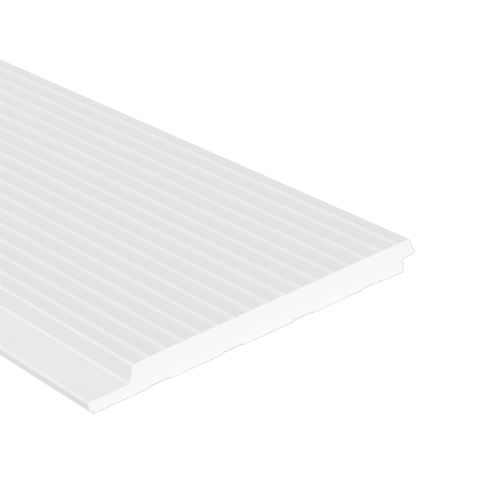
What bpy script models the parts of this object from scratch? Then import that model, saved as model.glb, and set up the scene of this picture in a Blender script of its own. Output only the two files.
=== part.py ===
"""A ribbed polystyrene wall panel with lapped long edges, made as one extruded piece.

The section is drawn once from the sizes below and extruded along the panel. Lengths are in metres.
X runs across the panel from the flange to the lip, Y along it and Z from the back to the ribbed face.
The origin is the middle of the back, so that the panel lies on it.
"""

import math

import bmesh
import bpy
from mathutils import Matrix, Vector

# Overall sizes
PANEL_LENGTH = 2.000
THICKNESS = 0.021
FACE_WIDTH = 0.2135

# Flange, which the next panel's lip covers
FLANGE_WIDTH = 0.0302
FLANGE_THICKNESS = 0.00885
STEP_RUN = 0.0048

# Lip, which covers the next panel's flange
LIP_OVERHANG = 0.0111
LIP_RUN = 0.0026
LAP_CLEARANCE = 0.00005

# Shoulder of the face, which falls away a little towards the step
SHOULDER_RUN = 0.016
SHOULDER_DROP = 0.0006

# Ribs of the face, each a shallow ramp up to a sharp crest
RIB_PITCH = 0.012775
RIB_RELIEF = 0.0002
RIB_RAMP = 0.0049
RIB_SWEEP = 0.0025
RIB_DROP_RUN = 0.00015
FIRST_CREST_INSET = 0.0131
LEAST_LAST_LAND = 0.006

# Glue grooves in the back
GROOVE_WIDTH = 0.0154
GROOVE_DEPTH = 0.00105
GROOVE_SIDE_RUN = 0.0012
GROOVE_PITCH = 0.0543
GROOVE_INSET = 0.026

# Radii of the long edges
NOSE_RADIUS = 0.0046
FLANGE_EDGE_RADIUS = 0.0017
STEP_FOOT_RADIUS = 0.0018
FACE_EDGE_RADIUS = 0.0019
LIP_EDGE_RADIUS = 0.0014
LIP_TIP_RADIUS = 0.0012
HEEL_RADIUS = 0.0008
REBATE_RADIUS = 0.0016

# Facets of the arcs
ARC_STEP = math.radians(12)
SWEEP_STEPS = 4
SHARP_ANGLE = math.radians(20)

# Places across the section, measured from the flange's end
STEP_FOOT_X = FLANGE_WIDTH
FACE_START_X = STEP_FOOT_X + STEP_RUN
FACE_END_X = FACE_START_X + FACE_WIDTH
LIP_TIP_X = FACE_END_X + LIP_RUN
REBATE_WALL_X = LIP_TIP_X - LIP_OVERHANG

# Heights of the section above the back
LAND_HEIGHT = THICKNESS - RIB_RELIEF
LIP_UNDERSIDE = FLANGE_THICKNESS + LAP_CLEARANCE


def rib_crests():
    """Places of the crests across the face, as many as leave a land beside the lip."""
    first = FACE_START_X + FIRST_CREST_INSET
    room = FACE_END_X - LEAST_LAST_LAND - first
    count = int(room / RIB_PITCH) + 1
    return [first + RIB_PITCH * i for i in range(count)]


def groove_middles():
    """Places of the back grooves, from the rebate to the step, as many as fit behind the face."""
    last = REBATE_WALL_X - GROOVE_INSET
    room = last - GROOVE_WIDTH / 2 - FACE_START_X
    count = int(room / GROOVE_PITCH) + 1
    return [last - GROOVE_PITCH * i for i in reversed(range(count))]


def face_point(x, height):
    """A point of the face at its height above the back, lowered where the shoulder falls away."""
    along = max(0, 1 - (x - FACE_START_X) / SHOULDER_RUN)
    return x, height - SHOULDER_DROP * along


def rib_outline(crest):
    """One rib from its crest down to the land: the short drop on its +X side, then the ramp on its -X side.

    The ramp is straight below the crest and runs out into the land along a parabola, RIB_SWEEP long."""
    slope = RIB_RELIEF / (RIB_RAMP - RIB_SWEEP / 2)
    foot = crest - RIB_RAMP
    points = [face_point(crest + RIB_DROP_RUN, LAND_HEIGHT), face_point(crest, THICKNESS)]
    for i in range(SWEEP_STEPS, -1, -1):
        along = RIB_SWEEP * i / SWEEP_STEPS
        points.append(face_point(foot + along, LAND_HEIGHT + slope * along**2 / (2 * RIB_SWEEP)))
    return points


def groove_outline(middle):
    """One glue groove, a shallow trapezium cut into the back."""
    half = GROOVE_WIDTH / 2
    floor = half - GROOVE_SIDE_RUN
    return [
        (middle - half, 0),
        (middle - floor, GROOVE_DEPTH),
        (middle + floor, GROOVE_DEPTH),
        (middle + half, 0),
    ]


def section_corners():
    """The section's corners as (x, z, radius), anticlockwise as seen from the -Y end."""
    corners = [(0, 0, NOSE_RADIUS)]
    for middle in groove_middles():
        corners += [(x, z, 0) for x, z in groove_outline(middle)]
    corners += [
        (REBATE_WALL_X, 0, HEEL_RADIUS),
        (REBATE_WALL_X, LIP_UNDERSIDE, REBATE_RADIUS),
        (LIP_TIP_X, LIP_UNDERSIDE, LIP_TIP_RADIUS),
        (FACE_END_X, LAND_HEIGHT, LIP_EDGE_RADIUS),
    ]
    for crest in reversed(rib_crests()):
        corners += [(x, z, 0) for x, z in rib_outline(crest)]
    corners += [
        (*face_point(FACE_START_X, LAND_HEIGHT), FACE_EDGE_RADIUS),
        (STEP_FOOT_X, FLANGE_THICKNESS, STEP_FOOT_RADIUS),
        (0, FLANGE_THICKNESS, FLANGE_EDGE_RADIUS),
    ]
    return corners


def tangent_lengths(points, radii):
    """How far each corner's arc reaches along its walls. A wall too short for two arcs is shared out."""
    count = len(points)
    turns = []
    for i in range(count):
        before = points[i] - points[i - 1]
        after = points[(i + 1) % count] - points[i]
        turns.append(before.angle_signed(after))
    wanted = [radii[i] * math.tan(abs(turns[i]) / 2) for i in range(count)]
    reach = list(wanted)
    for i in range(count):
        j = (i + 1) % count
        wall = (points[j] - points[i]).length
        both = wanted[i] + wanted[j]
        if both > wall:
            reach[i] = min(reach[i], wall * wanted[i] / both)
            reach[j] = min(reach[j], wall * wanted[j] / both)
    return reach, turns


def rounded_outline(corners):
    """The closed outline with every corner that has a radius turned into an arc."""
    points = [Vector((x, z)) for x, z, _ in corners]
    reach, turns = tangent_lengths(points, [radius for _, _, radius in corners])
    outline = []
    for i, corner in enumerate(points):
        if reach[i] == 0:
            outline.append(corner)
            continue
        into = (corner - points[i - 1]).normalized()
        radius = reach[i] / math.tan(abs(turns[i]) / 2)
        # A clockwise turn is a positive angle, and its arc's centre lies to the right of the outline
        side = -math.copysign(1, turns[i])
        start = corner - into * reach[i]
        centre = start + Vector((-into.y, into.x)) * side * radius
        steps = max(2, math.ceil(abs(turns[i]) / ARC_STEP))
        for k in range(steps + 1):
            turn = Matrix.Rotation(side * abs(turns[i]) * k / steps, 2)
            outline.append(centre + turn @ (start - centre))
    return outline


def polystyrene():
    """Smooth white extruded polystyrene."""
    material = bpy.data.materials.new("polystyrene")
    material.use_nodes = True
    shader = material.node_tree.nodes["Principled BSDF"]
    shader.inputs["Base Color"].default_value = (0.88, 0.88, 0.88, 1)
    shader.inputs["Roughness"].default_value = 0.55
    shader.inputs["Metallic"].default_value = 0
    return material


def wall_panel():
    """The panel: its section as one face, extruded along its length."""
    outline = rounded_outline(section_corners())
    across = [p.x for p in outline]
    middle = (min(across) + max(across)) / 2
    near_end = -PANEL_LENGTH / 2
    bm = bmesh.new()
    ring = [bm.verts.new((p.x - middle, near_end, p.y)) for p in outline]
    section = bm.faces.new(ring)
    pulled = bmesh.ops.extrude_face_region(bm, geom=[section], use_keep_orig=True)
    far_verts = [v for v in pulled["geom"] if isinstance(v, bmesh.types.BMVert)]
    bmesh.ops.translate(bm, verts=far_verts, vec=(0, PANEL_LENGTH, 0))
    bmesh.ops.recalc_face_normals(bm, faces=bm.faces)
    mesh = bpy.data.meshes.new("wall_panel")
    bm.to_mesh(mesh)
    bm.free()
    mesh.shade_smooth()
    mesh.set_sharp_from_angle(angle=SHARP_ANGLE)
    mesh.materials.append(polystyrene())
    panel = bpy.data.objects.new("wall_panel", mesh)
    bpy.context.scene.collection.objects.link(panel)
    return panel


def main():
    for obj in list(bpy.data.objects):
        bpy.data.objects.remove(obj, do_unlink=True)
    wall_panel()


main()
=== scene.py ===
"""The looks of a ribbed polystyrene wall panel: its skin and sawn ends, the floor, the light and the camera.

Lengths are in metres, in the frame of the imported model: X across the panel, Y along it and Z up.
"""

import math
from collections import namedtuple

import bmesh
import bpy
from mathutils import Matrix, Quaternion, Vector


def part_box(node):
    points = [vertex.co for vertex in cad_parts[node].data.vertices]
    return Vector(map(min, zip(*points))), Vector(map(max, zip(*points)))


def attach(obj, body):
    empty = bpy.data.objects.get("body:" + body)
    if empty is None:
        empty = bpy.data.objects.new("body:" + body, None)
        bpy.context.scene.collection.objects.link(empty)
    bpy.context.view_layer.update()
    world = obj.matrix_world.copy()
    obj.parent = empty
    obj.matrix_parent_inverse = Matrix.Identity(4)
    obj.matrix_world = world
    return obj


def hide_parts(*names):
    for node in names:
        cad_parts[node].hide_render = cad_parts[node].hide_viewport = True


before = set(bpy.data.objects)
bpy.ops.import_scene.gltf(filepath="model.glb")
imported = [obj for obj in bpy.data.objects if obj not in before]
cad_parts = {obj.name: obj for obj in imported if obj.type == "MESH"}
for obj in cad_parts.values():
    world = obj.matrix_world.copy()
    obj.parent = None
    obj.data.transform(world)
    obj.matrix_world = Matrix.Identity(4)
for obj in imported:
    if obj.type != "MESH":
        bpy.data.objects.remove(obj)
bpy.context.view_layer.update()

NODE = "wall_panel"

# Edges of the sawn ends, crisp towards the face and the flange and more broken towards the back and the lip
CRISP_EDGE = 0.0002
BROKEN_EDGE = 0.0007
# Edges that face this side, down and towards +X and away from the light, also carry painted shade
BROKEN_SIDE = Vector((1, -1)).normalized()
ROUNDING_STEPS = 5

# Narrow strips beside the arcs and the broken edges, so that the flat walls next to them are shaded flat
GUARD = 0.00008
SHARP_ANGLE = math.radians(20)

# Underside of the nose: a chamfer down to the back, and the arc that leads into it from the wall
NOSE_CHAMFER_WIDTH = 0.00295
NOSE_CHAMFER_HEIGHT = 0.0027
NOSE_RADIUS = 0.0015
ARC_STEP = math.radians(10)

# What tells the parts of the section's outline apart
WELD = 0.000001
SAME_HEIGHT = 0.000001
HIGHEST_DROP = 0.0005
LEAST_ARC_TURN = math.radians(3)
MOST_ARC_TURN = math.radians(18)
LONGEST_ARC_FACET = 0.0012

# Masks on the skin: the lands, the painted highlight on an inner arc and a rib's crest beside an outer arc,
# and how far painted shade reaches from the foot of a rib's drop and of the step
SKIN_MASKS = "land", "painted_highlight", "drop_shade", "step_foot_shade"
INNER_PAINTED_HIGHLIGHT = 0.72
CREST_PAINTED_HIGHLIGHT = 0.22
DROP_SHADE_FULL = 0.0016
DROP_SHADE_END = 0.0030
STEP_FOOT_SHADE_END = 0.010

# Noise: how many features it has to the metre along X, Y and Z, its levels of finer detail,
# and how much it varies the tone and the surface's height
Noise = namedtuple("Noise", "scale detail tone height", defaults=(0, 0))

# Middle of what a noise or a cell texture gives, which goes from 0 to 1
MIDDLE = 0.5

# Skin
SKIN_TONE = 0.895
SKIN_TINT = 1.004, 0.998, 1.001
# Painted shade on the lands, which leaves the ribs' ramps lighter, as if they caught more light
LAND_PAINTED_SHADE = 0.9395
# Painted highlight on the rounded edges that face up and on the ribs' crests
PAINTED_HIGHLIGHT_TONE = 1.07
# Painted shade at the foot of each rib's drop
DROP_SHADE_TONE = 0.985
# Painted shade on the flange, darkest at the foot of the step
STEP_FOOT_SHADE_TONE = 0.945
STEP_FOOT_SHADE_FADE = 2
RAMP_BLEND = 0.5
SKIN_ROUGHNESS = 0.42, 0.56
SKIN_SPECULAR = 0.4
MOTTLE = Noise(scale=(60, 25, 60), detail=4, tone=0.012)
DIE_LINES = Noise(scale=(1400, 5, 1400), detail=3, tone=0.010, height=0.000002)
COMBING = Noise(scale=(4200, 30, 4200), detail=2, tone=0.012, height=0.000004)
ORANGE_PEEL = Noise(scale=(1100, 700, 1100), detail=3, height=0.0000035)

# Sawn foam
FOAM_TONE = 0.915
# Painted shade on the sawn edges' roundings that face down and towards +X, away from the light
EDGE_SHADE_TONE = 0.67
FOAM_ROUGHNESS = 0.62, 0.8
FOAM_SPECULAR = 0.3
CELL_SCALE = 3300
CELL_TONE = 0.03
CELL_HEIGHT = 0.00002
SAW_MARKS = Noise(scale=(900, 900, 60), detail=2, tone=0.012, height=0.000008)
FOAM_CLOUDS = Noise(scale=(90, 90, 90), detail=4, tone=0.01)

# Places of the two materials in the panel's list
SKIN = 0
FOAM = 1

# Floor and backdrop: the floor is a pale grey to the light, and to the camera a white that is in part lit,
# which shows the object's shadow, and in part glows
FLOOR_SIZE = 60
FLOOR_BOUNCE = 0.85
FLOOR_SHADOW = 0.24
FLOOR_GLOW = 0.83
BACKDROP_WHITE = 1.0

# Light: what a white surface facing the key lamp, or the open sky, gets from it
KEY_LEVEL = 0.447
KEY_AZIMUTH = math.radians(18.2)
KEY_ELEVATION = math.radians(41.2)
KEY_SPREAD = math.radians(30)
KEY_DISTANCE = 3
SKY_LEVEL = 0.6

# Camera: the cut end, the ribs and the vanishing point of the length fall where the photo has them
CAMERA_PLACE = Vector((-0.7022, -2.3131, 0.7300))
CAMERA_AZIMUTH = math.radians(28.33)
CAMERA_ELEVATION = math.radians(24.184)
CAMERA_ROLL = math.radians(11.332)
CAMERA_LENS = 188.7
CAMERA_SENSOR = 36
CLIP_NEAR = 0.1
CLIP_FAR = 200


class Corner:
    """A corner of the section's outline.

    It has a place (x, z), and a share, from 0 to 1, of each of the skin's masks: lands, painted highlight
    and painted shade."""

    def __init__(self, place, **shares):
        self.place = place
        self.shares = shares

    def share(self, mask):
        return self.shares.get(mask, 0.0)


def end_corners(mesh):
    """The section's corners, anticlockwise from outside the -Y end, read from the solid's end face.

    They start at the foot of the nose's wall."""
    bm = bmesh.new()
    bm.from_mesh(mesh)
    bmesh.ops.remove_doubles(bm, verts=bm.verts, dist=WELD)
    end = min(v.co.y for v in bm.verts)
    cap = {f for f in bm.faces if all(v.co.y - end < WELD for v in f.verts)}
    following = {}
    for face in cap:
        for loop in face.loops:
            if sum(neighbour in cap for neighbour in loop.edge.link_faces) == 1:
                following[loop.vert] = loop.link_loop_next.vert
    left = min(v.co.x for v in following)
    first = min((v for v in following if v.co.x - left < WELD), key=lambda v: v.co.z)
    order = [first]
    while following[order[-1]] is not first:
        order.append(following[order[-1]])
    corners = [Corner(Vector((v.co.x, v.co.z))) for v in order]
    bm.free()
    return corners


def rounded(before, corner, after, radius):
    """The places along the arc that rounds an outer corner, from the wall before it to the one after."""
    into = (corner - before).normalized()
    away = (after - corner).normalized()
    turn = into.angle(away)
    start = corner - into * (radius * math.tan(turn / 2))
    centre = start + Vector((-into.y, into.x)) * radius
    steps = math.ceil(turn / ARC_STEP)
    return [centre + Matrix.Rotation(turn * k / steps, 2) @ (start - centre) for k in range(steps + 1)]


def chamfer_nose(corners):
    """Turn the nose's round underside, with which the outline starts, into a chamfer.

    An arc leads into it from the nose's wall, and its lower corner is crisp."""
    last = next(i for i, corner in enumerate(corners) if corner.place.y < WELD)
    wall, back = corners[0].place, corners[last].place
    upper = Vector((wall.x, back.y + NOSE_CHAMFER_HEIGHT))
    lower = Vector((wall.x + NOSE_CHAMFER_WIDTH, back.y))
    places = rounded(wall, upper, lower, NOSE_RADIUS) + [lower]
    corners[:last + 1] = [Corner(place) for place in places]


def find_crests(corners):
    """Where the ribs' crests are: the outline comes up a short drop and turns sharply down the ramp."""
    crests = []
    for i in range(1, len(corners) - 1):
        drop = corners[i].place - corners[i - 1].place
        ramp = corners[i + 1].place - corners[i].place
        if drop.y > 0 and drop.length < HIGHEST_DROP and drop.angle(ramp) > SHARP_ANGLE:
            crests.append(i)
    return crests


def mark_lands(corners):
    """Give the ribbed face its lands: a share of 1 on a land, falling to 0 up a ramp to the rib's crest,
    with a painted highlight that grows up the ramp to the crest.

    Every ramp is as long as the one that the outline comes to first, which ends at its land's height."""
    crests = find_crests(corners)
    land = corners[crests[0] - 1].place.y
    foot = crests[0]
    while corners[foot].place.y - land > SAME_HEIGHT:
        foot += 1
    ramp = foot - crests[0]
    # The face starts a corner before the foot of the first drop and ends a corner after the last ramp's foot
    face_start = crests[0] - 2
    face_end = crests[-1] + ramp + 1
    for corner in corners[face_start:face_end + 1]:
        corner.shares["land"] = 1.0
    for crest in crests:
        run = corners[crest].place.x - corners[crest + ramp].place.x
        for corner in corners[crest:crest + ramp]:
            share = (corners[crest].place.x - corner.place.x) / run
            corner.shares["land"] = share
            # Painted highlight on the ramp, strongest at the crest
            corner.shares["painted_highlight"] = CREST_PAINTED_HIGHLIGHT * (1 - share)


def paint_arc_highlights(corners):
    """Paint a highlight on the rounded long edges that face up, and a weaker one in an inner corner.

    The outline runs towards -X where it faces up."""
    for i, corner in enumerate(corners):
        into = corner.place - corners[i - 1].place
        away = corners[(i + 1) % len(corners)].place - corner.place
        turns = LEAST_ARC_TURN < into.angle(away) < MOST_ARC_TURN
        faces_up = into.x + away.x < 0
        if turns and faces_up and max(into.length, away.length) < LONGEST_ARC_FACET:
            corner.shares["painted_highlight"] = 1.0 if into.angle_signed(away) < 0 else INNER_PAINTED_HIGHLIGHT


def guard_arcs(corners):
    """Add a corner close beside each end of an arc, so that the flat wall next to it is shaded flat."""
    for i in reversed(range(len(corners))):
        corner = corners[i]
        into = corner.place - corners[i - 1].place
        away = corners[(i + 1) % len(corners)].place - corner.place
        if not LEAST_ARC_TURN < into.angle(away) < MOST_ARC_TURN:
            continue
        if away.length > LONGEST_ARC_FACET:
            corners.insert(i + 1, Corner(corner.place + away.normalized() * GUARD, **corner.shares))
        if into.length > LONGEST_ARC_FACET:
            corners.insert(i, Corner(corner.place - into.normalized() * GUARD, **corner.shares))


def paint_drop_shade(corners):
    """Paint shade on each land beside a rib's drop, where the drop shades it, even at first and then running
    out.
    """
    for crest in reversed(find_crests(corners)):
        foot = corners[crest - 1]
        foot.shares["drop_shade"] = 1.0
        full = Corner(foot.place + Vector((DROP_SHADE_FULL, 0)), land=1.0, drop_shade=1.0)
        gone = Corner(foot.place + Vector((DROP_SHADE_END, 0)), land=1.0)
        corners[crest - 1:crest - 1] = [gone, full]


def paint_step_foot_shade(corners):
    """Paint shade on the flange's front, darkest in the inner corner at the foot of the step.

    The flange's front is the longest stretch of the outline towards -X."""
    runs = [corner.place.x - following.place.x for corner, following in zip(corners, corners[1:])]
    foot = runs.index(max(runs))
    corners[foot].shares["step_foot_shade"] = 1.0
    corners.insert(foot + 1, Corner(corners[foot].place - Vector((STEP_FOOT_SHADE_END, 0))))


def section_corners(mesh):
    """The corners of the panel's section, with their shares of the lands, painted highlight and painted
    shade.
    """
    corners = end_corners(mesh)
    chamfer_nose(corners)
    mark_lands(corners)
    paint_arc_highlights(corners)
    guard_arcs(corners)
    paint_drop_shade(corners)
    paint_step_foot_shade(corners)
    return corners


def outward_mitres(corners):
    """The way out of the section at each corner.

    A corner that moves by its mitre takes the walls beside it out by 1, parallel to themselves."""
    mitres = []
    for i, corner in enumerate(corners):
        into = (corner.place - corners[i - 1].place).normalized()
        away = (corners[(i + 1) % len(corners)].place - corner.place).normalized()
        first = Vector((into.y, -into.x))
        second = Vector((away.y, -away.x))
        mitres.append((first + second) / (1 + first.dot(second)))
    return mitres


def smooth(share):
    """A share from 0 to 1, eased at both ends."""
    return share * share * (3 - 2 * share)


def rounding_rows():
    """The rows of a sawn edge from the end face outwards, as (inset, depth) in shares of its radius."""
    rows = []
    for k in range(ROUNDING_STEPS + 1):
        turn = math.pi / 2 * (1 - k / ROUNDING_STEPS)
        rows.append((1 - math.cos(turn), 1 - math.sin(turn)))
    return rows


def add_object(name, data):
    """A new object in the scene, made of a mesh, a lamp or a camera."""
    thing = bpy.data.objects.new(name, data)
    bpy.context.scene.collection.objects.link(thing)
    return thing


def build_panel(solid):
    """The panel: its section, drawn out between two sawn ends with broken edges."""
    corners = section_corners(solid.data)
    mitres = outward_mitres(corners)
    breaks = [smooth((mitre.normalized().dot(BROKEN_SIDE) + 1) / 2) for mitre in mitres]
    radii = [CRISP_EDGE + (BROKEN_EDGE - CRISP_EDGE) * share for share in breaks]
    low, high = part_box(NODE)

    bm = bmesh.new()
    layers = {name: bm.verts.layers.float.new(name) for name in SKIN_MASKS}
    # Painted shade on the sawn edges' roundings, the more they face down and towards +X
    edge_shade = bm.verts.layers.float.new("edge_shade")

    def row(end, inward, inset, depth, guard_inset=0.0, guard_depth=0.0, edge_shaded=False):
        made = []
        for corner, mitre, radius, broken in zip(corners, mitres, radii, breaks):
            place = corner.place - mitre * (radius * inset + guard_inset)
            y = end + inward * (radius * depth + guard_depth)
            vert = bm.verts.new((place.x, y, place.y))
            for name, layer in layers.items():
                vert[layer] = corner.share(name)
            # Painted shade on the sawn edges' roundings, the more they face down and towards +X
            vert[edge_shade] = broken if edge_shaded else 0.0
            made.append(vert)
        return made

    def end_rows(end, inward):
        rows = [row(end, inward, 1, 0, guard_inset=GUARD)]
        rows += [row(end, inward, inset, depth, edge_shaded=True) for inset, depth in rounding_rows()]
        rows.append(row(end, inward, 0, 1, guard_depth=GUARD))
        return rows

    near = end_rows(low.y, 1)
    far = end_rows(high.y, -1)
    rows = near + far[::-1]
    side = len(near) - 1
    for k, (here, there) in enumerate(zip(rows, rows[1:])):
        # The skin covers the long side and the narrow strip at each of its ends
        material = SKIN if abs(k - side) <= 1 else FOAM
        for i in range(len(corners)):
            j = (i + 1) % len(corners)
            bm.faces.new((here[i], there[i], there[j], here[j])).material_index = material
    for ring in (rows[0], rows[-1][::-1]):
        bm.faces.new(ring).material_index = FOAM

    mesh = bpy.data.meshes.new("panel")
    bm.to_mesh(mesh)
    bm.free()
    mesh.shade_smooth()
    mesh.set_sharp_from_angle(angle=SHARP_ANGLE)
    return add_object("panel", mesh)


class Shading:
    """A material's nodes, with short ways to add the kinds that are used here."""

    def __init__(self, name):
        self.material = bpy.data.materials.new(name)
        self.material.use_nodes = True
        self.nodes = self.material.node_tree.nodes
        self.shader = self.nodes["Principled BSDF"]
        self.place = self.nodes.new("ShaderNodeTexCoord").outputs["Object"]

    def link(self, source, target):
        self.material.node_tree.links.new(source, target)

    def maths(self, operation, *values):
        """A Math node. Each value is a number or another node's output."""
        node = self.nodes.new("ShaderNodeMath")
        node.operation = operation
        for socket, value in zip(node.inputs, values):
            if isinstance(value, (int, float)):
                socket.default_value = value
            else:
                self.link(value, socket)
        return node.outputs[0]

    def stretched(self, scale):
        """The place on the object, scaled along X, Y and Z."""
        node = self.nodes.new("ShaderNodeVectorMath")
        node.operation = "MULTIPLY"
        self.link(self.place, node.inputs[0])
        node.inputs[1].default_value = scale
        return node.outputs[0]

    def noise(self, kind):
        """A kind of noise about 0, as far as MIDDLE to either side."""
        node = self.nodes.new("ShaderNodeTexNoise")
        self.link(self.stretched(kind.scale), node.inputs["Vector"])
        node.inputs["Scale"].default_value = 1
        node.inputs["Detail"].default_value = kind.detail
        return self.maths("SUBTRACT", node.outputs["Fac"], MIDDLE)

    def attribute(self, name):
        node = self.nodes.new("ShaderNodeAttribute")
        node.attribute_name = name
        return node.outputs["Fac"]

    def ranged(self, value, start, end, low, high, kind="LINEAR"):
        """value, as it goes from start to end, turned into low to high."""
        node = self.nodes.new("ShaderNodeMapRange")
        node.interpolation_type = kind
        self.link(value, node.inputs["Value"])
        for name, number in zip(("From Min", "From Max", "To Min", "To Max"), (start, end, low, high)):
            node.inputs[name].default_value = number
        return node.outputs["Result"]

    def scaled(self, *pairs):
        """Several outputs, each times its own number."""
        return [self.maths("MULTIPLY", value, number) for value, number in pairs]

    def chain(self, operation, values):
        result = values[0]
        for value in values[1:]:
            result = self.maths(operation, result, value)
        return result

    def total(self, *values):
        return self.chain("ADD", values)

    def product(self, *values):
        return self.chain("MULTIPLY", values)

    def tinted(self, tone, tint):
        """A tone, from black at 0 to white at 1, in the shade of a tint."""
        node = self.nodes.new("ShaderNodeVectorMath")
        node.operation = "SCALE"
        node.inputs[0].default_value = tint
        self.link(tone, node.inputs["Scale"])
        return node.outputs[0]

    def bump(self, height):
        """The relief, with its height in metres."""
        node = self.nodes.new("ShaderNodeBump")
        node.inputs["Strength"].default_value = 1
        node.inputs["Distance"].default_value = 1
        self.link(height, node.inputs["Height"])
        self.link(node.outputs["Normal"], self.shader.inputs["Normal"])


def skin_material():
    """The smooth skin from the die: satin, faintly streaked along the panel, and finely combed on lands,
    with painted highlights and painted shade.
    """
    skin = Shading("polystyrene_skin")
    land = skin.ranged(skin.attribute("land"), 1 - RAMP_BLEND, 1, 0, 1, kind="SMOOTHSTEP")
    mottle = skin.noise(MOTTLE)
    lines = skin.noise(DIE_LINES)
    combing = skin.maths("MULTIPLY", skin.noise(COMBING), land)
    peel = skin.noise(ORANGE_PEEL)

    variation = skin.scaled((mottle, MOTTLE.tone), (lines, DIE_LINES.tone), (combing, COMBING.tone))
    # Painted shade on the flange, darkest at the foot of the step
    step_foot_shade = skin.maths("POWER", skin.attribute("step_foot_shade"), STEP_FOOT_SHADE_FADE)
    tone = skin.product(
        skin.total(SKIN_TONE, *variation),
        # Painted shade on the lands, so that the ramps look lit
        skin.ranged(land, 0, 1, 1, LAND_PAINTED_SHADE),
        # Painted highlight on the rounded edges that face up and on the ribs' crests
        skin.ranged(skin.attribute("painted_highlight"), 0, 1, 1, PAINTED_HIGHLIGHT_TONE),
        # Painted shade at the foot of each rib's drop
        skin.ranged(skin.attribute("drop_shade"), 0, 1, 1, DROP_SHADE_TONE),
        skin.ranged(step_foot_shade, 0, 1, 1, STEP_FOOT_SHADE_TONE),
    )
    skin.link(skin.tinted(tone, SKIN_TINT), skin.shader.inputs["Base Color"])

    roughness = skin.ranged(mottle, -MIDDLE, MIDDLE, *SKIN_ROUGHNESS)
    skin.link(roughness, skin.shader.inputs["Roughness"])
    skin.shader.inputs["Specular IOR Level"].default_value = SKIN_SPECULAR

    relief = skin.scaled((peel, ORANGE_PEEL.height), (lines, DIE_LINES.height), (combing, COMBING.height))
    skin.bump(skin.total(*relief))
    return skin.material


def foam_material():
    """Sawn foam: fine closed cells cut open, crossed by the saw's marks, with painted shade on the edge
    roundings that face down and towards +X.
    """
    foam = Shading("polystyrene_foam")
    cells = foam.nodes.new("ShaderNodeTexVoronoi")
    cells.feature = "SMOOTH_F1"
    foam.link(foam.place, cells.inputs["Vector"])
    cells.inputs["Scale"].default_value = CELL_SCALE
    walls = foam.maths("SUBTRACT", cells.outputs["Distance"], MIDDLE)
    marks = foam.noise(SAW_MARKS)
    clouds = foam.noise(FOAM_CLOUDS)

    variation = foam.scaled((walls, CELL_TONE), (marks, SAW_MARKS.tone), (clouds, FOAM_CLOUDS.tone))
    # Painted shade on the sawn edges' roundings that face down and towards +X, away from the light
    edge_shade = foam.ranged(foam.attribute("edge_shade"), 0, 1, 1, EDGE_SHADE_TONE)
    tone = foam.product(foam.total(FOAM_TONE, *variation), edge_shade)
    foam.link(tone, foam.shader.inputs["Base Color"])

    roughness = foam.ranged(clouds, -MIDDLE, MIDDLE, *FOAM_ROUGHNESS)
    foam.link(roughness, foam.shader.inputs["Roughness"])
    foam.shader.inputs["Specular IOR Level"].default_value = FOAM_SPECULAR

    relief = foam.scaled((walls, CELL_HEIGHT), (marks, SAW_MARKS.height))
    foam.bump(foam.total(*relief))
    return foam.material


def camera_sees(tree):
    """1 for the rays that show a thing to the camera, straight, by a reflection or through glass.

    It is 0 for the rays that carry light from the thing to others."""
    path = tree.nodes.new("ShaderNodeLightPath")
    most = path.outputs["Is Camera Ray"]
    for name in ("Is Glossy Ray", "Is Transmission Ray"):
        node = tree.nodes.new("ShaderNodeMath")
        node.operation = "MAXIMUM"
        tree.links.new(most, node.inputs[0])
        tree.links.new(path.outputs[name], node.inputs[1])
        most = node.outputs[0]
    return most


def floor_material():
    """White to the camera but for the object's shadow, and a plain pale grey to the light."""
    material = bpy.data.materials.new("floor")
    material.use_nodes = True
    tree = material.node_tree
    tree.nodes.clear()

    def diffuse(level):
        node = tree.nodes.new("ShaderNodeBsdfDiffuse")
        node.inputs["Color"].default_value = (level, level, level, 1)
        return node.outputs[0]

    glow = tree.nodes.new("ShaderNodeEmission")
    glow.inputs["Strength"].default_value = FLOOR_GLOW
    seen = tree.nodes.new("ShaderNodeAddShader")
    tree.links.new(diffuse(FLOOR_SHADOW), seen.inputs[0])
    tree.links.new(glow.outputs[0], seen.inputs[1])
    mix = tree.nodes.new("ShaderNodeMixShader")
    tree.links.new(camera_sees(tree), mix.inputs["Fac"])
    tree.links.new(diffuse(FLOOR_BOUNCE), mix.inputs[1])
    tree.links.new(seen.outputs[0], mix.inputs[2])
    output = tree.nodes.new("ShaderNodeOutputMaterial")
    tree.links.new(mix.outputs[0], output.inputs["Surface"])
    return material


def build_floor():
    mesh = bpy.data.meshes.new("floor")
    half = FLOOR_SIZE / 2
    corners = [(-half, -half, 0), (half, -half, 0), (half, half, 0), (-half, half, 0)]
    mesh.from_pydata(corners, [], [(0, 1, 2, 3)])
    mesh.materials.append(floor_material())
    add_object("floor", mesh)


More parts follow.
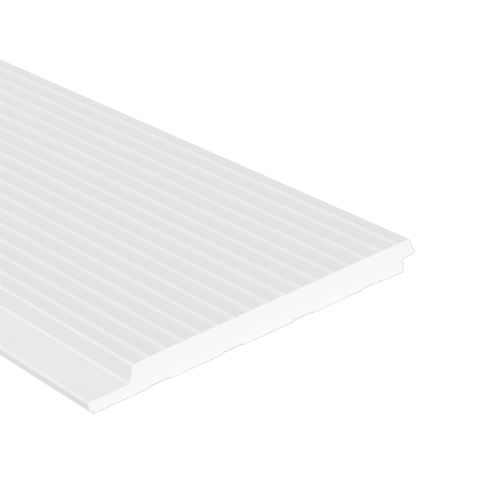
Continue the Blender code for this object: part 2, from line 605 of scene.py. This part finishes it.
def build_world():
    """A plain even sky, white where the camera sees it."""
    world = bpy.data.worlds.new("studio")
    world.use_nodes = True
    tree = world.node_tree
    background = tree.nodes["Background"]
    background.inputs["Color"].default_value = (1, 1, 1, 1)
    level = tree.nodes.new("ShaderNodeMapRange")
    tree.links.new(camera_sees(tree), level.inputs["Value"])
    level.inputs["To Min"].default_value = SKY_LEVEL
    level.inputs["To Max"].default_value = BACKDROP_WHITE
    tree.links.new(level.outputs["Result"], background.inputs["Strength"])
    bpy.context.scene.world = world


def build_key():
    """The key light, a distant soft lamp. Azimuth 0 is on the -Y side, and it turns towards -X."""
    data = bpy.data.lights.new("key", "SUN")
    data.energy = KEY_LEVEL * math.pi
    data.angle = KEY_SPREAD
    across = math.cos(KEY_ELEVATION)
    towards = Vector((
        -math.sin(KEY_AZIMUTH) * across,
        -math.cos(KEY_AZIMUTH) * across,
        math.sin(KEY_ELEVATION),
    ))
    lamp = add_object("key", data)
    lamp.rotation_mode = "QUATERNION"
    lamp.rotation_quaternion = towards.to_track_quat("Z", "Y")
    lamp.location = towards * KEY_DISTANCE


def build_camera():
    """The camera. Azimuth 0 looks along +Y, and it turns towards +X."""
    data = bpy.data.cameras.new("camera")
    data.sensor_width = CAMERA_SENSOR
    data.lens = CAMERA_LENS
    data.clip_start = CLIP_NEAR
    data.clip_end = CLIP_FAR
    level = math.cos(CAMERA_ELEVATION)
    ahead = Vector((
        math.sin(CAMERA_AZIMUTH) * level,
        math.cos(CAMERA_AZIMUTH) * level,
        -math.sin(CAMERA_ELEVATION),
    ))
    camera = add_object("camera", data)
    camera.rotation_mode = "QUATERNION"
    upright = ahead.to_track_quat("-Z", "Y")
    camera.rotation_quaternion = upright @ Quaternion((0, 0, 1), -CAMERA_ROLL)
    camera.location = CAMERA_PLACE
    bpy.context.scene.camera = camera


def main():
    build_camera()
    build_key()
    build_world()
    build_floor()
    panel = build_panel(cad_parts[NODE])
    panel.data.materials.append(skin_material())
    panel.data.materials.append(foam_material())
    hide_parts(NODE)
    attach(panel, "root")
    bpy.context.scene.view_settings.view_transform = "Standard"


main()
